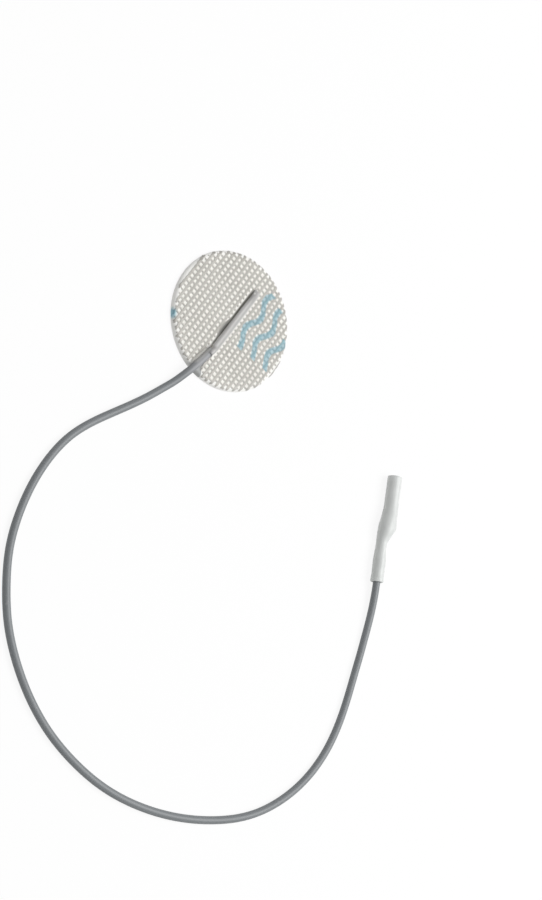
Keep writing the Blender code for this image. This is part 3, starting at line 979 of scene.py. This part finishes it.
def new_finish(name):
    """A finish, its node tree and the place of each of its points."""
    made = bpy.data.materials.new(name)
    made.use_nodes = True
    graph = Graph(made.node_tree)
    return made, graph, graph.node("ShaderNodeTexCoord")["Object"]


def surface(graph, sockets):
    """The one shader of a finish, with its even and its varying inputs."""
    shader = graph.node("ShaderNodeBsdfPrincipled", None, sockets)
    graph.node("ShaderNodeOutputMaterial", None, {"Surface": shader})


def attribute(graph, name):
    return graph.node("ShaderNodeAttribute", {"attribute_name": name})["Fac"]


def ink_share(graph, place):
    """Blue ink on the cloth: three wavy strokes beside the flap."""
    # Each stroke's middle line, its start and its end, in millimetres
    strokes = ((-4.4, -3.4, 13.0), (-8.6, -2.6, 12.0), (-12.8, -2.0, 7.5))
    width = 0.68 * MM
    soft = 0.2 * MM
    wave_length = 9.0 * MM
    wave_start = 0.4
    rise = 0.9 * MM
    x, y, _ = graph.parts(place)
    fray = (graph.noise(place, 1500.0, 2.0) - 0.5) * (0.5 * MM)
    wave = graph.sine(x * (FULL_TURN / wave_length) + wave_start) * rise
    total = 0.0
    for middle, start, end in strokes:
        off = abs(y - (wave + middle * MM)) + fray
        line = 1.0 - graph.step(off, width, width + soft)
        total = line * (x > start * MM) * (x < end * MM) + total
    return graph.clamp(total)


def rim_mark_share(graph, place):
    """Stronger blue on the rim, where a printed mark was cut through."""
    way_x, way_y = 0.64, 0.77
    middle_along, half_length = 2.95 * MM, 1.55 * MM
    middle_across, half_width = 15.9 * MM, 1.2 * MM
    ragged = 0.3
    full_to, gone_at = 0.45, 1.3
    x, y, _ = graph.parts(place)
    off_along = abs(x * way_x + y * way_y - middle_along) / half_length
    off_across = abs(y * way_x - x * way_y - middle_across) / half_width
    off = graph.distance(off_along, off_across) + graph.noise(place, 1500.0, 2.0) * ragged
    return 1.0 - graph.step(off, full_to, gone_at)


def make_thread_finish():
    """Silver-plated yarn: fine twisted fibres, dull metal, blue where it is printed."""
    dark_silver = colour(0.385, 0.372, 0.345)
    light_silver = colour(0.47, 0.457, 0.425)
    fibre_shade = colour(0.30, 0.29, 0.27)
    painted_hollow_shade = colour(0.20, 0.19, 0.17)
    ink = colour(0.17, 0.33, 0.39)
    rim_ink = colour(0.15, 0.34, 0.42)
    twist = 0.9 * MM
    made, graph, place = new_finish("silver_thread")
    turn = attribute(graph, "along") * (FULL_TURN / twist)
    fibre = (attribute(graph, "round_x") * graph.sine(turn)
             + attribute(graph, "round_y") * graph.cosine(turn))
    fibre = fibre * 0.5 + 0.5
    patch = graph.noise(place, 420.0)
    grain = graph.noise(place, 9000.0, 2.0)

    # Painted shade: threads low in the knit are darker, but not where they come out at the rim
    x, y, z = graph.parts(place)
    low = 1.0 - graph.step(z, KNIT_Z - 0.06 * MM, KNIT_Z + 0.05 * MM)
    low = low * (1.0 - graph.step(graph.distance(x, y), 14.2 * MM, 15.2 * MM))
    surface(graph, {
        "Base Color": graph.coated(
            graph.mix(patch, dark_silver, light_silver),
            (fibre * 0.2, fibre_shade), (low * 0.5, painted_hollow_shade),
            (ink_share(graph, place) * 0.8, ink), (rim_mark_share(graph, place) * 0.85, rim_ink)),
        "Metallic": 0.3,
        "Roughness": grain * 0.2 + 0.38,
        "Normal": graph.bump(fibre * 0.8 + grain * 0.2, 0.6, 0.03 * MM),
    })
    return made


def make_flap_finish():
    """The same cloth seen close-knit over the wire: fine rows, painted light on its foot, painted
    shade at its inner end and darker grey at its mouth.
    """
    dark_cloth = colour(0.43, 0.425, 0.415)
    light_cloth = colour(0.52, 0.515, 0.505)
    row_shade = colour(0.34, 0.33, 0.32)
    painted_end_shade = colour(0.22, 0.22, 0.215)
    mouth_grey = colour(0.32, 0.32, 0.325)
    painted_foot_light = colour(0.66, 0.67, 0.66)
    row_step = 0.42 * MM
    loop_step = 0.62 * MM
    loop_lean = 2.4
    made, graph, place = new_finish("flap_cloth")
    x, y, _ = graph.parts(place)
    row = graph.sine(y * (FULL_TURN / row_step)) * 0.5 + 0.5
    loop = graph.sine(x * (FULL_TURN / loop_step) + row * loop_lean) * 0.5 + 0.5
    knit = row * 0.5 + loop * 0.5
    patch = graph.noise(place, 500.0)
    # Painted shade toward the flap's inner end
    inner_end = graph.step(x, 4.5 * MM, 8.5 * MM) * graph.step(y, -1.2 * MM, -0.4 * MM)
    mouth = 1.0 - graph.step(x, FLAP_START_X - 0.3 * MM, FLAP_START_X + 1.2 * MM)
    # Painted light along the foot, on the slope that faces the lamp
    foot = 1.0 - graph.step(y, -1.55 * MM, -1.05 * MM)
    surface(graph, {
        "Base Color": graph.coated(
            graph.mix(patch, dark_cloth, light_cloth),
            (knit * 0.3, row_shade), (inner_end * 0.6, painted_end_shade),
            (mouth * 0.8, mouth_grey), (foot * 0.5, painted_foot_light)),
        "Metallic": 0.15,
        "Roughness": patch * 0.2 + 0.42,
        "Normal": graph.bump(knit, 0.35, 0.05 * MM),
    })
    return made


def notch_film_share(graph, x, y):
    """Where thin grey film shows in the notch, less of it past the lead."""
    past_end = 1.5 * MM
    far_flare, near_flare = notch_flares(graph, x)
    far_side = 1.0 - graph.step(y - far_flare, NOTCH_FAR_Y - 0.1 * MM, NOTCH_FAR_Y + 0.6 * MM)
    near_side = graph.step(y + near_flare, NOTCH_NEAR_Y - 0.45 * MM, NOTCH_NEAR_Y - 0.2 * MM)
    film = far_side * near_side * (x < NOTCH_END_X + past_end)
    return film * (0.97 - graph.step(y, -0.6 * MM, 0.4 * MM) * 0.85)


def slit_shade_share(graph, x, y):
    """Where shade is painted under the flap and in the slit."""
    fade = 2.0 * MM
    bulge_share = 1.9
    slit_y = y - slit_bulge(graph, x) * bulge_share
    near_side = graph.step(y, -1.3 * MM, -1.0 * MM)
    slit_side = 1.0 - graph.step(slit_y, SLIT_EDGE_Y - 0.05 * MM, SLIT_EDGE_Y + 0.1 * MM)
    return (near_side * slit_side * graph.step(x, SLIT_SHADE_START_X, SLIT_SHADE_START_X + fade)
            * (x < FLAP_END_X - FLAP_END_LAP))


def slit_gap_share(graph, x, y):
    """Deepest shade of the slit, along its line where it stands open."""
    line_y = 0.5 * MM
    off = abs(y - line_y)
    return slit_bulge(graph, x) / SLIT_BULGE * (1.0 - graph.step(off, 0.2 * MM, 0.55 * MM))


def make_gel_finish():
    """Cloudy off-white gel, grey in the notch, with painted shade under the flap and in the slit,
    painted light on its border and wall, blue where ink soaked through.
    """
    dull_gel = colour(0.84, 0.825, 0.775)
    clear_gel = colour(0.95, 0.935, 0.89)
    painted_border_light = colour(0.98, 0.975, 0.95)
    film_grey = colour(0.365, 0.375, 0.37)
    painted_slit_shade = colour(0.30, 0.29, 0.265)
    gap_shade = colour(0.10, 0.097, 0.09)
    painted_wall_light = colour(0.97, 0.965, 0.93)
    ink = colour(0.32, 0.50, 0.57)
    rim_ink = colour(0.24, 0.52, 0.63)
    made, graph, place = new_finish("gel_film")
    cloud = graph.noise(place, 220.0, 4.0)
    fine = graph.noise(place, 2600.0, 2.0)
    mottle = graph.step(graph.noise(place, 800.0, 1.0), 0.3, 0.7)
    x, y, z = graph.parts(place)
    # Painted light on the gel's border and on its wall, where they lie away from the lamp
    border = graph.step(graph.distance(x, y), 14.6 * MM, 15.4 * MM)
    film = notch_film_share(graph, x, y)
    wall = (1.0 - graph.step(z, 0.95 * MM, 1.17 * MM)) * (1.0 - film)
    surface(graph, {
        "Base Color": graph.coated(
            graph.mix(mottle * 0.6 + cloud * 0.4, dull_gel, clear_gel),
            (border * 0.8, painted_border_light), (film, film_grey),
            (slit_shade_share(graph, x, y) * 0.94, painted_slit_shade),
            (slit_gap_share(graph, x, y) * 0.85, gap_shade), (wall * 0.8, painted_wall_light),
            (ink_share(graph, place) * 0.8, ink), (rim_mark_share(graph, place) * 0.85, rim_ink)),
        "Roughness": cloud * 0.2 + 0.42,
        "Specular IOR Level": 0.35,
        "Subsurface Weight": 0.03,
        "Subsurface Radius": (0.001, 0.001, 0.001),
        "Subsurface Scale": 1.0,
        "Normal": graph.bump(cloud * 0.7 + fine * 0.3, 0.25, 0.08 * MM),
    })
    return made


def make_jacket_finish():
    """Soft grey jacket, scuffed, with painted light by the pad and on its shaded far flank there.
    """
    dark_grey = colour(0.160, 0.173, 0.182)
    light_grey = colour(0.200, 0.214, 0.223)
    scuff_grey = colour(0.33, 0.335, 0.345)
    painted_pad_light = colour(0.34, 0.34, 0.355)
    painted_flank_light = colour(0.60, 0.60, 0.58)
    made, graph, place = new_finish("grey_jacket")
    cloud = graph.noise(place, 150.0)
    fine = graph.noise(place, 5200.0)
    scuff = graph.step(graph.noise(place, 900.0, 4.0), 0.62, 0.75)
    x, y, _ = graph.parts(place)
    # Painted light on the lead by the pad
    by_pad = graph.step(x, -20.0 * MM, -13.5 * MM) * (y > -GEL_RADIUS)

    # The lead's middle line on the gel, as a straight line past one of its points
    lead_x, lead_y, lead_slope = -12.5 * MM, 0.35 * MM, -0.175
    off = y - ((x - lead_x) * lead_slope + lead_y)
    # Painted light on the lead's far flank, which lies in shade
    far_flank_light = graph.step(off, 0.15 * MM, 0.7 * MM) * graph.step(x, -15.8 * MM, -14.6 * MM)
    surface(graph, {
        "Base Color": graph.coated(
            graph.mix(cloud, dark_grey, light_grey),
            (scuff * 0.35, scuff_grey), (by_pad * 0.7, painted_pad_light),
            (far_flank_light * by_pad * 0.6, painted_flank_light)),
        "Roughness": fine * 0.16 + 0.40 + scuff * 0.1,
        "Specular IOR Level": 0.65,
        "Normal": graph.bump(fine, 0.25, 0.02 * MM),
    })
    return made


def make_sleeve_finish():
    """Milky white soft plastic."""
    dark_white = colour(0.61, 0.63, 0.615)
    light_white = colour(0.76, 0.78, 0.765)
    made, graph, place = new_finish("milky_sleeve")
    cloud = graph.noise(place, 260.0)
    fine = graph.noise(place, 3800.0)
    surface(graph, {
        "Base Color": graph.mix(cloud, dark_white, light_white),
        "Roughness": fine * 0.16 + 0.3,
        "Subsurface Weight": 0.25,
        "Subsurface Radius": (0.004, 0.004, 0.004),
        "Subsurface Scale": 0.25,
        "Normal": graph.bump(cloud * 0.5 + fine * 0.5, 0.25, 0.04 * MM),
    })
    return made


def make_metal_finish(name, dark, light, fine_ripples):
    """Bare metal with fine drawn marks."""
    made, graph, place = new_finish(name)
    cloud = graph.noise(place, 500.0)
    fine = graph.noise(place, fine_ripples)
    surface(graph, {
        "Base Color": graph.mix(cloud, dark, light),
        "Metallic": 1.0,
        "Roughness": fine * 0.2 + 0.2,
        "Normal": graph.bump(fine, 0.2, 0.01 * MM),
    })
    return made


# Floor and light

def seen_share(graph):
    """1 where the camera, gloss or glass looks, 0 where light bounces."""
    ray = graph.node("ShaderNodeLightPath")
    return graph.largest(ray["Is Camera Ray"], ray["Is Glossy Ray"], ray["Is Transmission Ray"])


def make_floor():
    """White table: pale where it bounces light, nearly pure white where it is seen."""
    reach = 6.0
    glow_share = 0.9
    shape = bmesh.new()
    bmesh.ops.create_grid(shape, x_segments=1, y_segments=1, size=reach)
    made, graph, place = new_finish("floor")
    cloud = graph.noise(place, 4.0)
    pale = graph.mix(cloud, colour(0.94, 0.94, 0.94), colour(0.96, 0.96, 0.96))
    lit = graph.node("ShaderNodeBsdfDiffuse", None, {"Color": pale})
    glow = graph.node("ShaderNodeEmission", None, {"Color": colour(1.0, 1.0, 1.0)})
    both = graph.node("ShaderNodeMixShader", None,
                      {0: seen_share(graph) * glow_share, 1: lit, 2: glow})
    graph.node("ShaderNodeOutputMaterial", None, {"Surface": both})
    floor = mesh_object("floor", shape, made)


def make_world():
    """Even white studio, which lights at a level and is seen as pure white."""
    level = 0.30
    world = bpy.data.worlds.new("studio")
    world.use_nodes = True
    graph = Graph(world.node_tree)
    sky = graph.node("ShaderNodeBackground", None, {
        "Color": colour(1.0, 1.0, 1.0),
        "Strength": seen_share(graph) * (1.0 - level) + level})
    graph.node("ShaderNodeOutputWorld", None, {"Surface": sky})
    bpy.context.scene.world = world


def make_lamp():
    """One broad round lamp, from ahead of the pad and to its right."""
    place = Vector((0.22, -0.40, 0.80))
    aim = Vector((-0.04, -0.035, 0.0))
    data = bpy.data.lights.new("key", "AREA")
    data.shape = "DISK"
    data.size = 0.8
    data.energy = 8.0
    aimed_object("key", data, place, aim)


def main():
    make_camera()
    lead = make_lead(make_jacket_finish())
    make_metal_finish("tinned_wire", colour(0.60, 0.59, 0.57), colour(0.78, 0.77, 0.75), 4000.0)
    metal = make_metal_finish("socket_metal", colour(0.66, 0.63, 0.57),
                              colour(0.78, 0.75, 0.69), 2500.0)
    sleeve = make_sleeve(make_sleeve_finish())
    socket = make_socket(metal)
    plug_strands = make_plug_wire()

    make_thread_finish()
    gel = make_gel(make_gel_finish())
    make_pad_wire()
    knit = make_knit()
    flap = make_flap(make_flap_finish())

    make_floor()
    make_world()
    make_lamp()
    bpy.context.scene.view_settings.view_transform = "Standard"


main()
